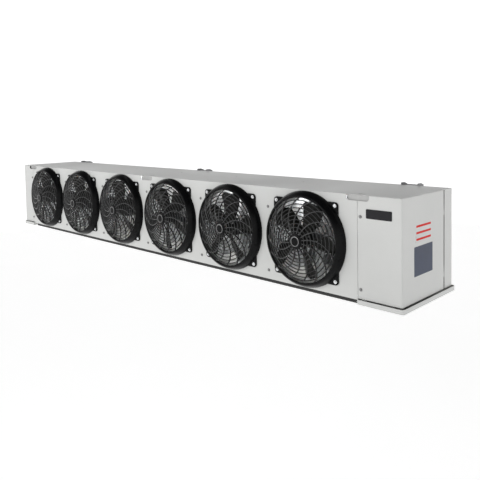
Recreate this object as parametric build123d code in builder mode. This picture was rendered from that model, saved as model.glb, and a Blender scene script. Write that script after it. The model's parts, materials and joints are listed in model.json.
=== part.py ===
"""Six-fan low-profile walk-in unit cooler, hung from the ceiling by six slotted brackets.

Frame: X runs along the cabinet, Y from the fan side to the coil side, Z up.  The origin is the
centre of the hanging pattern, on the top faces of the hanger legs.  All sizes are millimetres.
"""
from build123d import *
import math
import os

os.makedirs("parts", exist_ok=True)

# ---------------------------------------------------------------- driving dimensions
# cabinet
sheet = 1.2                # painted sheet of the casing
fan_count = 6
fan_pitch = 406.4          # 16 inch between fan centres
end_margin = 12.8          # extra length beyond the outer fan cells
left_bay = 125.0           # electrical end compartment
right_bay = 172.0          # refrigerant end compartment
cabinet_depth = 370.0
cabinet_height = 367.0     # roof skin to lower edge of the end covers
fan_shift = -15.0          # fans stand this far from the middle of their cells
fan_rise = 181.0           # fan axis above the lower edge of the end covers
panel_drop = 6.0           # fan panel hangs this far below the end covers
panel_return = 15.0        # folded edge of the fan panel
panel_seam = 1.5           # gap between fan panel and end cover
seat_gap = 0.3             # gap between pieces that only lie against each other

# hanging
rod_span = 363.0           # front rod to rear rod
front_rod_inset = 32.0     # front rod behind the fan face
hanger_plate = 3.0
hanger_slot = (24.0, 11.0)
rod_clearance = 4.0        # roof slot is larger than the hanger slot by this
nut_space = (44.0, 40.0)   # room around a rod nut, along Y and Z
front_hanger_width = 88.0
front_hanger_reach = 62.0
front_hanger_drop = 45.0
front_hanger_setback = 6.0
rear_hanger_width = 74.0
rear_hanger_reach = 45.0
rear_hanger_rise = 9.0
window_side_gap = 3.0      # a window is wider than its hanger by this on each side
window = (front_hanger_width + 2 * window_side_gap, 20.0, 12.0)   # width, height, corner radius

# fans
orifice_radius = 156.0
blade_tip_radius = 148.0
blade_count = 5
blade_thickness = 2.0
blade_chord = 104.0
blade_camber = 11.0
blade_pitch = 20.0         # degrees from the plane of rotation
blade_centre = 14.0        # blade middle in front of the fan panel
blade_rest = (20, 20, 20, 44, 4, 62)   # degrees each fan happens to stand at
hub_radius = 30.0
hub_depth = 30.0
shaft_radius = 4.0
running_clearance = 0.05
motor_radius = 42.0
motor_length = 70.0
motor_setback = 18.0       # motor nose behind the fan panel
shaft_grip = 24.0          # length of shaft inside the motor
bracket_plate = 2.0
bracket_width = 40.0
bracket_foot = 14.0
bracket_edge = 4.0         # bracket foot stands this far outside the orifice

# fan guards
guard_sides = 16
guard_base_radius = 184.0
guard_base_depth = 6.0
guard_square = 304.0
guard_square_cut = 9.0
guard_ear = 139.0          # half spacing of the four fixing screws
guard_rim_radius = 165.0   # front rim of the shroud
guard_depth = 35.0
guard_wall = 3.0
grille_radius = 155.0      # outer edge of the openings
grille_inner_radius = 27.0
grille_plate = 3.0
grille_spokes = 8
grille_rings = 2           # bands of openings between rings
grille_bar = 4.0
grille_swirl = -34.0       # degrees that a spoke turns from hub to rim
guard_crown = 62.0         # front of the grille at the hub
cap_radius = 22.0
cap_front = 66.0

# coil
tube_radius = 6.35
tube_rows = 3
tubes_high = 10
tube_pitch = 31.75
row_pitch = 27.5
coil_setback = 12.5        # coil face inside the rear edge of the cabinet
coil_lift = 14.0           # fins above the lower edge of the end covers
end_sheet = 1.6
bend_leg = 10.0

# end covers
cover_depth = 303.0
cover_corner = 6.0
cover_flange = 12.0
cover_roof_gap = 0.6
hinge_seam = 7.0           # open seam at the hinged edge of a cover
hinge_knuckle = 2.2
hinge_pin = 1.2
hinge_clearance = 0.1
hinge_half = 18.0
hinge_leaf = 13.0
hinge_heights = (62.0, 292.0)

# drain pan
pan_sheet = 1.5
pan_overhang = 8.0
pan_rear_overhang = 15.0
pan_rim_gap = 3.0          # rim below the end covers
pan_end_depth = 20.0       # end trays, below the end covers
pan_trough_depth = 26.0    # main trough, below the end covers
pan_trough_inset = 18.0    # front wall of the trough behind the fan face
pan_corner = 12.0
pan_step = 2.0             # end tray stops this far outside the fan panel
pan_hinge_back = 7.5       # hinge axis behind the cabinet
pan_hinge_drop = 9.0       # hinge axis below the end covers
pan_pin = 3.0
pan_ear = 5.0
pan_ear_plate = 2.0
pan_hinge_inset = 30.0     # hinge plates from the cabinet's ends
drain_radius = 13.3        # 3/4 inch pipe thread, outside
drain_bore = 9.5
drain_length = 26.0
drain_inset = 90.0

# pipes, boxes and screws
suction_radius = 11.11     # 7/8 inch tube
liquid_radius = 6.35       # 1/2 inch tube
pipe_stub = 40.0           # stubs behind the cabinet
grommet_wall = 3.5
cable_hole_radius = 11.1   # 7/8 inch knockout
screw_radius = 6.0
screw_head = 3.0

# ---------------------------------------------------------------- planes and stations
fan_section = fan_count * fan_pitch + 2 * end_margin
seam_left = -fan_section / 2
seam_right = fan_section / 2
left = seam_left - left_bay
right = seam_right + right_bay
front = -rod_span / 2 - front_rod_inset
back = front + cabinet_depth
top = sheet
bottom = top - cabinet_height
fan_z = bottom + fan_rise
fan_x = [(i - (fan_count - 1) / 2) * fan_pitch + fan_shift for i in range(fan_count)]
wall_x = [(i - (fan_count - 2) / 2) * fan_pitch for i in range(fan_count - 1)]
hanger_x = {"left": seam_left, "middle": 0.0, "right": seam_right}
cover_edge = front + cover_depth             # rear edge of an end cover
strip_edge = cover_edge + hinge_seam         # front edge of the rear casing
casing_back = back - sheet                   # rear casing lies inside the roof's rear lip
coil_back = back - coil_setback
coil_depth = tube_rows * row_pitch
coil_front = coil_back - coil_depth
coil_bottom = bottom + coil_lift
coil_height = tubes_high * tube_pitch
row_y = [coil_front + (r + 0.5) * row_pitch for r in range(tube_rows)]
tube_z = [coil_bottom + (k + 0.5) * tube_pitch for k in range(tubes_high)]


def station(x, turn=0.0):
    """The plane of one fan: on the fan panel's face, looking out along the air flow."""
    across = (math.cos(math.radians(turn)), 0, math.sin(math.radians(turn)))
    return Plane(origin=(x, front, fan_z), x_dir=across, z_dir=(0, -1, 0))


def span(x0, x1, y0, y1, z0, z1, mode=Mode.ADD):
    """A rectangular block between two corners, added to or cut from the open part."""
    with Locations(((x0 + x1) / 2, (y0 + y1) / 2, (z0 + z1) / 2)):
        Box(x1 - x0, y1 - y0, z1 - z0, mode=mode)


def barrel(x, y, z0, z1, radius, mode=Mode.ADD):
    """An upright eight-sided barrel; when cut away, a round bar of the radius still passes."""
    with BuildSketch(Plane.XY.offset(z0)) as ring:
        with Locations((x, y)):
            RegularPolygon(radius, 8, major_radius=mode == Mode.ADD)
    extrude(ring.sketch, amount=z1 - z0, mode=mode)


def hanger_window(x):
    """Cut the opening in front of a hanger, rounded at its lower corners, through a front sheet."""
    width, height, radius = window
    with BuildSketch(Plane.XZ.offset(-front)) as opening:
        with Locations((x, 0)):
            RectangleRounded(width, 2 * height, radius)
    extrude(opening.sketch, amount=-(panel_return + 1), mode=Mode.SUBTRACT)


# ---------------------------------------------------------------- roof
with BuildPart() as roof_panel:
    span(left, right, front, back, 0, top)
    span(left, right, back - sheet, back, -22, 0)
    with BuildSketch(Plane.XY.offset(top)):
        with Locations([(x, -rod_span / 2) for x in hanger_x.values()]):
            Rectangle(hanger_slot[0] + rod_clearance, hanger_slot[1] + rod_clearance)
    extrude(amount=-sheet, mode=Mode.SUBTRACT)
roof_panel.part.label = "roof_panel"
export_step(roof_panel.part, "parts/roof_panel.step")

# ---------------------------------------------------------------- fan panel
panel_low = bottom - panel_drop
with BuildPart() as fan_panel:
    with BuildSketch(Plane.YZ.offset(seam_left + panel_seam / 2)):
        with Locations((front + panel_return / 2, panel_low / 2)):
            Rectangle(panel_return, -panel_low)
        with Locations((front + sheet + panel_return / 2, panel_low / 2)):
            Rectangle(panel_return, -panel_low - 2 * sheet, mode=Mode.SUBTRACT)
    extrude(amount=fan_section - panel_seam)
    with BuildSketch(Plane.XZ.offset(-front)):
        with Locations([(x, fan_z) for x in fan_x]):
            RegularPolygon(orifice_radius, 16, major_radius=False)
    extrude(amount=-sheet, mode=Mode.SUBTRACT)
    for x in hanger_x.values():
        hanger_window(x)
fan_panel.part.label = "fan_panel"
export_step(fan_panel.part, "parts/fan_panel.step")

# ---------------------------------------------------------------- end sheets and partitions
hanger_relief = front + front_hanger_setback + hanger_plate + 2 * seat_gap
for side, seam, out in (("left", seam_left, -1), ("right", seam_right, 1)):
    with BuildPart() as end_plate:
        outer = seam + out * end_sheet
        flange = seam + out * 22
        face = front + sheet + seat_gap
        x0, x1 = sorted((seam, outer))
        span(x0, x1, face, casing_back - sheet, bottom + sheet + 2 * seat_gap, -hanger_plate)
        x0, x1 = sorted((seam, flange))
        span(x0, x1, face, face + end_sheet, bottom + sheet + 2 * seat_gap, -hanger_plate)
        # clear the hanger's front tab, and leave room for the nut below its slot
        span(seam - 30, seam + 30, face - 1, hanger_relief, -front_hanger_drop - 1, 0, Mode.SUBTRACT)
        span(seam - 30, seam + 30, -(rod_span + nut_space[0]) / 2, -(rod_span - nut_space[0]) / 2,
             -nut_space[1], 0, Mode.SUBTRACT)
    end_plate.part.label = f"{side}_end_sheet"
    export_step(end_plate.part, f"parts/{side}_end_sheet.step")

wall_flange = 18.0
for i, x in enumerate(wall_x, start=1):
    with BuildPart() as partition:
        start = x - wall_flange / 2
        face = front + sheet
        span(start, start + sheet, face, coil_front - seat_gap, bottom + 2, -hanger_plate)
        span(start, start + wall_flange, face, face + sheet, bottom + 2, -hanger_plate)
        if abs(x) < 1:
            span(-30, 30, face - 1, hanger_relief, -front_hanger_drop - 1, 0, Mode.SUBTRACT)
            span(-30, 30, -(rod_span + nut_space[0]) / 2, -(rod_span - nut_space[0]) / 2,
                 -nut_space[1], 0, Mode.SUBTRACT)
    partition.part.label = f"partition_{i}"
    export_step(partition.part, f"parts/partition_{i}.step")

# ---------------------------------------------------------------- pipe stations in the right bay
header_x = seam_right + 75
header_y = row_y[-1]
suction_z = bottom + 46
liquid_x = seam_right + 126
liquid_z = bottom + 112
valve_y = front + 120

# ---------------------------------------------------------------- rear casings
cable_x = seam_left - 62
cable_z = bottom + 60
hinge_y = (cover_edge + strip_edge) / 2
for side, seam, end, out in (("left", seam_left, left, -1), ("right", seam_right, right, 1)):
    hinge_x = end - out * (sheet + hinge_knuckle)
    with BuildPart() as rear_casing:
        x0, x1 = sorted((end - out * sheet, end))
        span(x0, x1, strip_edge, casing_back, bottom, 0)
        x0, x1 = sorted((seam + out * end_sheet, end))
        span(x0, x1, casing_back - sheet, casing_back, bottom, 0)
        span(x0, x1, casing_back - 16, casing_back, bottom, bottom + sheet)
        with BuildSketch(Plane.XZ.offset(-casing_back)):
            if out < 0:
                with Locations((cable_x, cable_z)):
                    Circle(cable_hole_radius)
            else:
                for x, z, pipe in ((header_x, suction_z, suction_radius), (liquid_x, liquid_z, liquid_radius)):
                    with Locations((x, z)):
                        RegularPolygon(pipe + grommet_wall, 12, major_radius=False)
        extrude(amount=sheet + 1, both=True, mode=Mode.SUBTRACT)
        # fixed halves of the lift-off hinges, welded inside the strip, each with its pin
        x0, x1 = sorted((end - out * 2 * sheet, end - out * sheet))
        for height in hinge_heights:
            z = bottom + height
            barrel(hinge_x, hinge_y, z - hinge_half, z, hinge_knuckle)
            with Locations((hinge_x, hinge_y, z + hinge_half / 2 - 1)):
                Cylinder(hinge_pin, hinge_half - 2)
            span(x0, x1, hinge_y + hinge_pin, strip_edge + hinge_leaf, z - hinge_half, z)
    rear_casing.part.label = f"{side}_rear_casing"
    export_step(rear_casing.part, f"parts/{side}_rear_casing.step")

# ---------------------------------------------------------------- end covers
cover_top = -cover_roof_gap
for side, seam, end, out in (("left", seam_left, left, -1), ("right", seam_right, right, 1)):
    hinge_x = end - out * (sheet + hinge_knuckle)
    edge = seam + out * panel_seam / 2
    with BuildPart() as end_cover:
        x0, x1 = sorted((edge, end))
        span(x0, x1, front, cover_edge, bottom, cover_top)
        corner = end_cover.edges().filter_by(Axis.Z).group_by(Axis.Y)[0].sort_by(Axis.X)
        fillet(corner[-1] if out > 0 else corner[0], cover_corner)
        # hollow it from the seam side and from behind, then open the folded flanges
        x0, x1 = sorted((edge - out, end - out * sheet))
        with BuildPart(mode=Mode.PRIVATE) as room:
            span(x0, x1, front + sheet, cover_edge + 1, bottom + sheet, cover_top - sheet)
            corner = room.edges().filter_by(Axis.Z).group_by(Axis.Y)[0].sort_by(Axis.X)
            fillet(corner[-1] if out > 0 else corner[0], cover_corner - sheet)
        add(room.part, mode=Mode.SUBTRACT)
        x0, x1 = sorted((edge - out, end - out * (sheet + cover_flange)))
        span(x0, x1, front + sheet + cover_flange, cover_edge + 1, bottom - 1, 1, Mode.SUBTRACT)
        hanger_window(seam)
        x0, x1 = sorted((end - out * 2 * sheet, end - out * sheet))
        for height in hinge_heights:
            z = bottom + height + seat_gap
            barrel(hinge_x, hinge_y, z, z + hinge_half, hinge_knuckle)
            span(x0, x1, cover_edge - hinge_leaf, hinge_y - hinge_pin - hinge_clearance, z, z + hinge_half)
            barrel(hinge_x, hinge_y, z - 1, z + hinge_half + 1, hinge_pin + hinge_clearance, Mode.SUBTRACT)
    end_cover.part.label = f"{side}_end_cover"
    export_step(end_cover.part, f"parts/{side}_end_cover.step")

    with BuildPart() as cover_screws:
        with BuildSketch(Plane.XZ.offset(-front)):
            with Locations([(seam + out * 12, bottom + 291), (seam + out * 12, bottom + 33)]):
                RegularPolygon(screw_radius, 6)
        extrude(amount=screw_head)
    cover_screws.part.label = f"{side}_cover_screws"
    export_step(cover_screws.part, f"parts/{side}_cover_screws.step")

# ---------------------------------------------------------------- hangers
for name, x in hanger_x.items():
    half = front_hanger_width / 2
    face = front + front_hanger_setback
    with BuildPart() as front_hanger:
        span(x - half, x + half, face, front + front_hanger_reach, -hanger_plate, 0)
        span(x - half, x + half, face, face + hanger_plate, -front_hanger_drop, 0)
        with BuildSketch(Plane.XY):
            with Locations((x, -rod_span / 2)):
                SlotOverall(*hanger_slot)
        extrude(amount=-hanger_plate, mode=Mode.SUBTRACT)
    front_hanger.part.label = f"front_hanger_{name}"
    export_step(front_hanger.part, f"parts/front_hanger_{name}.step")

    half = rear_hanger_width / 2
    with BuildPart() as rear_hanger:
        span(x - half, x + half, back, back + rear_hanger_reach, -hanger_plate, 0)
        span(x - half, x + half, back, back + hanger_plate, -front_hanger_drop, 0)
        for start in (x - half, x + half - hanger_plate):
            with BuildSketch(Plane.YZ.offset(start)):
                with BuildLine():
                    Polyline((back, -30), (back, rear_hanger_rise), (back + 0.55 * rear_hanger_reach,
                             rear_hanger_rise), (back + rear_hanger_reach, 2),
                             (back + rear_hanger_reach, -hanger_plate), close=True)
                make_face()
            extrude(amount=hanger_plate)
        with BuildSketch(Plane.XY):
            with Locations((x, rod_span / 2)):
                SlotOverall(*hanger_slot)
        extrude(amount=-hanger_plate, mode=Mode.SUBTRACT)
    rear_hanger.part.label = f"rear_hanger_{name}"
    export_step(rear_hanger.part, f"parts/rear_hanger_{name}.step")

# ---------------------------------------------------------------- fan guard: one moulding, made once
# Built round the Z axis, with the fan panel's face at Z = 0 and the room in front of it.


def swirl(radius):
    """Degrees that a spoke has turned at this radius, growing faster towards the rim."""
    return grille_swirl * ((radius - grille_inner_radius) / (grille_radius - grille_inner_radius)) ** 2


def low_pyramid(drop):
    """The room under the grille's front, as a low pyramid with a face for each gap between spokes."""
    with BuildPart() as room:
        with BuildSketch(Plane.XY.offset(guard_depth - grille_plate - drop)):
            RegularPolygon(guard_rim_radius - guard_wall, guard_sides)
        extrude(amount=guard_crown - guard_depth + grille_plate)
        slope = math.atan2(guard_crown - guard_depth, grille_radius + guard_wall - grille_inner_radius)
        for k in range(grille_spokes):
            turn = math.tau * (k + 0.5) / grille_spokes
            across, along = math.cos(turn), math.sin(turn)
            foot = (grille_radius + guard_wall) * across, (grille_radius + guard_wall) * along
            lean = (math.sin(slope) * across, math.sin(slope) * along, math.cos(slope))
            split(bisect_by=Plane(origin=(*foot, guard_depth - drop), z_dir=lean), keep=Keep.BOTTOM)
    return room.part


with BuildPart() as grille_form:
    add(low_pyramid(0))
    add(low_pyramid(grille_plate), mode=Mode.SUBTRACT)
    # openings: bands between rings, each cell leaning with the swirl of the spokes
    band_width = (grille_radius - grille_inner_radius) / grille_rings
    with BuildSketch() as cells:
        for band in range(grille_rings):
            inner = grille_inner_radius + band * band_width + grille_bar / 2
            outer = inner + band_width - grille_bar
            for k in range(grille_spokes):
                with BuildLine():
                    corners = []
                    for radius, edge in ((inner, 0), (inner, 1), (outer, 1), (outer, 0)):
                        bar = math.degrees(grille_bar / 2 / radius) * (1 - 2 * edge)
                        turn = math.radians((k + edge) * 360 / grille_spokes + bar + swirl(radius))
                        corners.append((radius * math.cos(turn), radius * math.sin(turn)))
                    Polyline(*corners, close=True)
                make_face()
    extrude(cells.sketch, amount=guard_crown, mode=Mode.SUBTRACT)

shroud_lean = math.degrees(math.atan2(guard_base_radius - guard_rim_radius, guard_depth - guard_base_depth))
with BuildPart() as guard_form:
    # base plate with four ears, and the tapered shroud
    with BuildSketch() as base:
        Rectangle(guard_square, guard_square)
        chamfer(base.vertices(), guard_square_cut)
        RegularPolygon(guard_base_radius, guard_sides)
    extrude(amount=guard_base_depth)
    with BuildSketch(Plane.XY.offset(guard_base_depth)):
        RegularPolygon(guard_base_radius, guard_sides)
    extrude(amount=guard_depth - guard_base_depth, taper=shroud_lean)
    # hollow it from behind, and open its front inside the rim
    with BuildSketch():
        RegularPolygon(guard_base_radius - guard_wall, guard_sides)
    extrude(amount=guard_depth - guard_wall, taper=shroud_lean * 0.9, mode=Mode.SUBTRACT)
    with BuildSketch(Plane.XY.offset(guard_depth - 2 * guard_wall)):
        RegularPolygon(grille_radius, guard_sides)
    extrude(amount=3 * guard_wall, mode=Mode.SUBTRACT)
    # the grille closes its front, and the round cap stands at the grille's middle
    add(grille_form.part)
    with BuildSketch(Plane.XY.offset(guard_crown)):
        RegularPolygon(cap_radius, grille_spokes)
    extrude(amount=cap_front - guard_crown, taper=20)

for i, x in enumerate(fan_x, start=1):
    with BuildPart() as guard:
        with Locations(station(x)):
            add(guard_form.part)
    guard.part.label = f"guard_{i}"
    export_step(guard.part, f"parts/guard_{i}.step")

with BuildPart() as guard_screws:
    for x in fan_x:
        with BuildSketch(station(x).offset(guard_base_depth)):
            with GridLocations(2 * guard_ear, 2 * guard_ear, 2, 2):
                RegularPolygon(screw_radius, 6)
        extrude(amount=screw_head)
guard_screws.part.label = "guard_screws"
export_step(guard_screws.part, "parts/guard_screws.step")

with BuildPart() as panel_screws:
    with BuildSketch(Plane.XZ.offset(-front)):
        with Locations([(x, bottom + z) for x in wall_x for z in (288, 30)]):
            RegularPolygon(screw_radius, 6)
    extrude(amount=screw_head)
panel_screws.part.label = "panel_screws"
export_step(panel_screws.part, "parts/panel_screws.step")

# ---------------------------------------------------------------- fan: blades, hub and shaft
with BuildPart() as blade_form:
    # a cambered strip, pushed out along the radius and then trimmed to the blade's outline
    root = hub_radius - 3
    with BuildSketch(Plane.YZ.offset(root)):
        with BuildLine():
            stations = [(s / 3 - 0.5) * blade_chord for s in range(4)]
            bow = [blade_camber * (0.5 - (2 * c / blade_chord) ** 2) for c in stations]
            face = list(zip(stations, bow))
            Polyline(*face, *[(c, b + blade_thickness) for c, b in reversed(face)], close=True)
        make_face()
    extrude(amount=blade_tip_radius - root)
    with BuildSketch(Plane.XY.offset(-2 * blade_camber)):
        with BuildLine():
            rim = blade_tip_radius
            Polyline((root, -24), (rim * 0.45, -47), (rim * 0.82, -50), (rim * 0.95, -30),
                     (rim * 0.97, 14), (rim * 0.78, 50), (root, 22), close=True)
        make_face()
    extrude(amount=4 * blade_camber, mode=Mode.INTERSECT)

with BuildPart() as fan_form:
    with BuildSketch(Plane.XY.offset(blade_centre - hub_depth / 2)):
        RegularPolygon(hub_radius, 3 * blade_count)
    extrude(amount=hub_depth)
    with BuildSketch(Plane.XY.offset(-motor_setback - shaft_grip)):
        Circle(shaft_radius)
    extrude(amount=motor_setback + shaft_grip + blade_centre - hub_depth / 2)
    with Locations([Plane(origin=(0, 0, blade_centre), x_dir=(math.cos(a), math.sin(a), 0),
                          z_dir=(0, 0, 1)) for a in [math.tau * k / blade_count for k in range(blade_count)]]):
        add(blade_form.part, rotation=(blade_pitch, 0, 0))

for i, (x, turn) in enumerate(zip(fan_x, blade_rest), start=1):
    with BuildPart() as fan:
        with Locations(station(x, turn)):
            add(fan_form.part)
    fan.part.label = f"fan_{i}"
    export_step(fan.part, f"parts/fan_{i}.step")

# ---------------------------------------------------------------- motor and its bracket
motor_back = motor_setback + motor_length
with BuildPart() as motor_form:
    with BuildSketch(Plane.XY.offset(-motor_back)):
        RegularPolygon(motor_radius, 12)
    extrude(amount=motor_length)
    chamfer(motor_form.faces().sort_by(Axis.Z)[-1].edges(), 7)
    with BuildSketch(Plane.XY.offset(-motor_setback)):
        RegularPolygon(shaft_radius + running_clearance, 12, major_radius=False)
    extrude(amount=-(shaft_grip + 2), mode=Mode.SUBTRACT)

foot_start = orifice_radius + bracket_edge
with BuildPart() as bracket_form:
    # hat bracket: feet behind the fan panel, legs back past the motor, bar across its rear
    with BuildSketch(Plane.YZ.offset(-bracket_width / 2)):
        with BuildLine():
            low = -sheet
            feet = foot_start + bracket_foot
            Polyline((-feet, low), (-foot_start, low), (-foot_start, -motor_back),
                     (foot_start, -motor_back), (foot_start, low), (feet, low),
                     (feet, low - bracket_plate), (foot_start + bracket_plate, low - bracket_plate),
                     (foot_start + bracket_plate, -motor_back - bracket_plate),
                     (-foot_start - bracket_plate, -motor_back - bracket_plate),
                     (-foot_start - bracket_plate, low - bracket_plate), (-feet, low - bracket_plate),
                     close=True)
        make_face()
    extrude(amount=bracket_width)

for i, x in enumerate(fan_x, start=1):
    with BuildPart() as motor:
        with Locations(station(x)):
            add(motor_form.part)
    motor.part.label = f"motor_{i}"
    export_step(motor.part, f"parts/motor_{i}.step")
    with BuildPart() as motor_bracket:
        with Locations(station(x)):
            add(bracket_form.part)
    motor_bracket.part.label = f"motor_bracket_{i}"
    export_step(motor_bracket.part, f"parts/motor_bracket_{i}.step")

# ---------------------------------------------------------------- coil
with BuildPart() as fin_pack:
    span(seam_left, seam_right, coil_front, coil_back, coil_bottom, coil_bottom + coil_height)
fin_pack.part.label = "fin_pack"
export_step(fin_pack.part, "parts/fin_pack.step")


def tube_path(points, radius, sides=4):
    """A mitred run of tube through the points, with as many flats as sides."""
    with BuildLine() as route:
        Polyline(*points)
    with BuildSketch(Plane(origin=route.line @ 0, z_dir=route.line % 0)) as section:
        RegularPolygon(radius, sides)
    sweep(section.sketch, path=route.line, transition=Transition.RIGHT)


def return_bend(x, y0, z0, y1, z1, out):
    """A U bend between two tubes, standing out from an end sheet at x."""
    reach = bend_leg + tube_pitch / 2
    y_mid, z_mid = (y0 + y1) / 2, (z0 + z1) / 2
    tube_path([(x, y0, z0), (x + out * bend_leg, y0, z0), (x + out * reach, y_mid, z_mid),
               (x + out * bend_leg, y1, z1), (x, y1, z1)], tube_radius)


with BuildPart() as left_return_bends:
    for y in row_y:
        for k in range(0, tubes_high, 2):
            return_bend(seam_left - end_sheet, y, tube_z[k], y, tube_z[k + 1], -1)
left_return_bends.part.label = "left_return_bends"
export_step(left_return_bends.part, "parts/left_return_bends.step")

# At the other end each circuit steps back through the three rows.
with BuildPart() as right_return_bends:
    for k in range(0, tubes_high, 2):
        return_bend(seam_right + end_sheet, row_y[0], tube_z[k], row_y[1], tube_z[k], 1)
        return_bend(seam_right + end_sheet, row_y[1], tube_z[k + 1], row_y[2], tube_z[k + 1], 1)
right_return_bends.part.label = "right_return_bends"
export_step(right_return_bends.part, "parts/right_return_bends.step")

# ---------------------------------------------------------------- pipework in the right bay
plate_face = seam_right + end_sheet
stub_start = back + 6                        # clear of the grommets
with BuildPart() as suction_header:
    with BuildSketch(Plane.XY.offset(suction_z - 2 * suction_radius)):
        with Locations((header_x, header_y)):
            RegularPolygon(suction_radius, 10)
    extrude(amount=tube_z[-1] + suction_radius - suction_z + 2 * suction_radius)
    for k in range(0, tubes_high, 2):
        with BuildSketch(Plane.YZ.offset(plate_face)):
            with Locations((row_y[2], tube_z[k])):
                RegularPolygon(tube_radius, 6)
        extrude(amount=header_x - plate_face)
    with BuildSketch(Plane.XZ.offset(-header_y)):
        with Locations((header_x, suction_z)):
            RegularPolygon(suction_radius, 12)
    extrude(amount=-(stub_start - header_y))
    with BuildSketch(Plane.XZ.offset(-stub_start)):
        with Locations((header_x, suction_z)):
            Circle(suction_radius)
    extrude(amount=-(back + pipe_stub - stub_start))
suction_header.part.label = "suction_header"
export_step(suction_header.part, "parts/suction_header.step")

distributor_z = bottom + 214
with BuildPart() as distributor:
    with BuildSketch(Plane.XY.offset(distributor_z + 26)):
        with Locations((header_x, valve_y)):
            RegularPolygon(17, 10)
    extrude(amount=-26, taper=17)
    for n, k in enumerate(range(1, tubes_high, 2)):
        turn = math.tau * n / 5
        start = (header_x + 11 * math.cos(turn), valve_y + 11 * math.sin(turn), distributor_z + 24)
        lift = distributor_z + 44 + 6 * n
        tube_path([start, (start[0], start[1], lift), (header_x - 22 + 5 * n, row_y[0] - 34, lift),
                   (header_x - 22 + 5 * n, row_y[0] - 34, tube_z[k]), (plate_face + 14, row_y[0], tube_z[k]),
                   (plate_face, row_y[0], tube_z[k])], 2.6)
distributor.part.label = "distributor"
export_step(distributor.part, "parts/distributor.step")

with BuildPart() as expansion_valve:
    with BuildSketch(Plane.XY.offset(liquid_z - 16)):
        with Locations((header_x, valve_y)):
            RegularPolygon(15, 12)
    extrude(amount=distributor_z - liquid_z + 16 - 18)
    with BuildSketch(Plane.XY.offset(distributor_z - 18)):
        with Locations((header_x, valve_y)):
            RegularPolygon(8, 12)
    extrude(amount=18)
    with BuildSketch(Plane.XZ.offset(-valve_y + 10)):
        with Locations((header_x, liquid_z + 34)):
            RegularPolygon(22, 12)
    extrude(amount=19)
    with BuildSketch(Plane.YZ.offset(header_x)):
        with Locations((valve_y, liquid_z)):
            RegularPolygon(liquid_radius, 12)
    extrude(amount=liquid_x - header_x)
    with BuildSketch(Plane.XZ.offset(-valve_y)):
        with Locations((liquid_x, liquid_z)):
            RegularPolygon(liquid_radius, 12)
    extrude(amount=-(stub_start - valve_y))
    with BuildSketch(Plane.XZ.offset(-stub_start)):
        with Locations((liquid_x, liquid_z)):
            Circle(liquid_radius)
    extrude(amount=-(back + pipe_stub - stub_start))
expansion_valve.part.label = "expansion_valve"
export_step(expansion_valve.part, "parts/expansion_valve.step")

with BuildPart() as pipe_grommets:
    for x, z, pipe in ((header_x, suction_z, suction_radius), (liquid_x, liquid_z, liquid_radius)):
        hole = pipe + grommet_wall
        for y, outer, length in ((casing_back - sheet, hole, sheet), (casing_back, hole + 3, 3)):
            with BuildSketch(Plane.XZ.offset(-y)):
                with Locations((x, z)):
                    RegularPolygon(outer, 12)
                    RegularPolygon(pipe + seat_gap, 12, major_radius=False, mode=Mode.SUBTRACT)
            extrude(amount=-length)
pipe_grommets.part.label = "pipe_grommets"
export_step(pipe_grommets.part, "parts/pipe_grommets.step")

# ---------------------------------------------------------------- electrical bay
box_outer = (70.0, 150.0, 200.0)
box_wall = 1.5
box_x = seam_left - end_sheet
box_y = front + 44
box_z = bottom + 118
with BuildPart() as terminal_box:
    span(box_x - box_outer[0], box_x, box_y, box_y + box_outer[1], box_z, box_z + box_outer[2])
    span(box_x - box_outer[0] - 1, box_x - box_wall, box_y + box_wall, box_y + box_outer[1] - box_wall,
         box_z + box_wall, box_z + box_outer[2] - box_wall, Mode.SUBTRACT)
    with BuildSketch(Plane.XY.offset(box_z)):
        with Locations((box_x - box_outer[0] / 2, box_y + box_outer[1] / 2)):
            RegularPolygon(cable_hole_radius, 12, major_radius=False)
    extrude(amount=box_wall, mode=Mode.SUBTRACT)
terminal_box.part.label = "terminal_box"
export_step(terminal_box.part, "parts/terminal_box.step")

with BuildPart() as terminal_box_lid:
    lid = box_x - box_outer[0]
    span(lid - box_wall, lid, box_y - 2, box_y + box_outer[1] + 2, box_z - 2, box_z + box_outer[2] + 2)
terminal_box_lid.part.label = "terminal_box_lid"
export_step(terminal_box_lid.part, "parts/terminal_box_lid.step")

with BuildPart() as terminal_block:
    rail_x = box_x - box_wall
    rail_z = box_z + 60
    span(rail_x - 22, rail_x, box_y + 34, box_y + 116, rail_z, rail_z + 30)
    for n in range(6):
        span(rail_x - 30, rail_x - 22, box_y + 36 + 13 * n, box_y + 38 + 13 * n, rail_z, rail_z + 30)
terminal_block.part.label = "terminal_block"
export_step(terminal_block.part, "parts/terminal_block.step")

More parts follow.
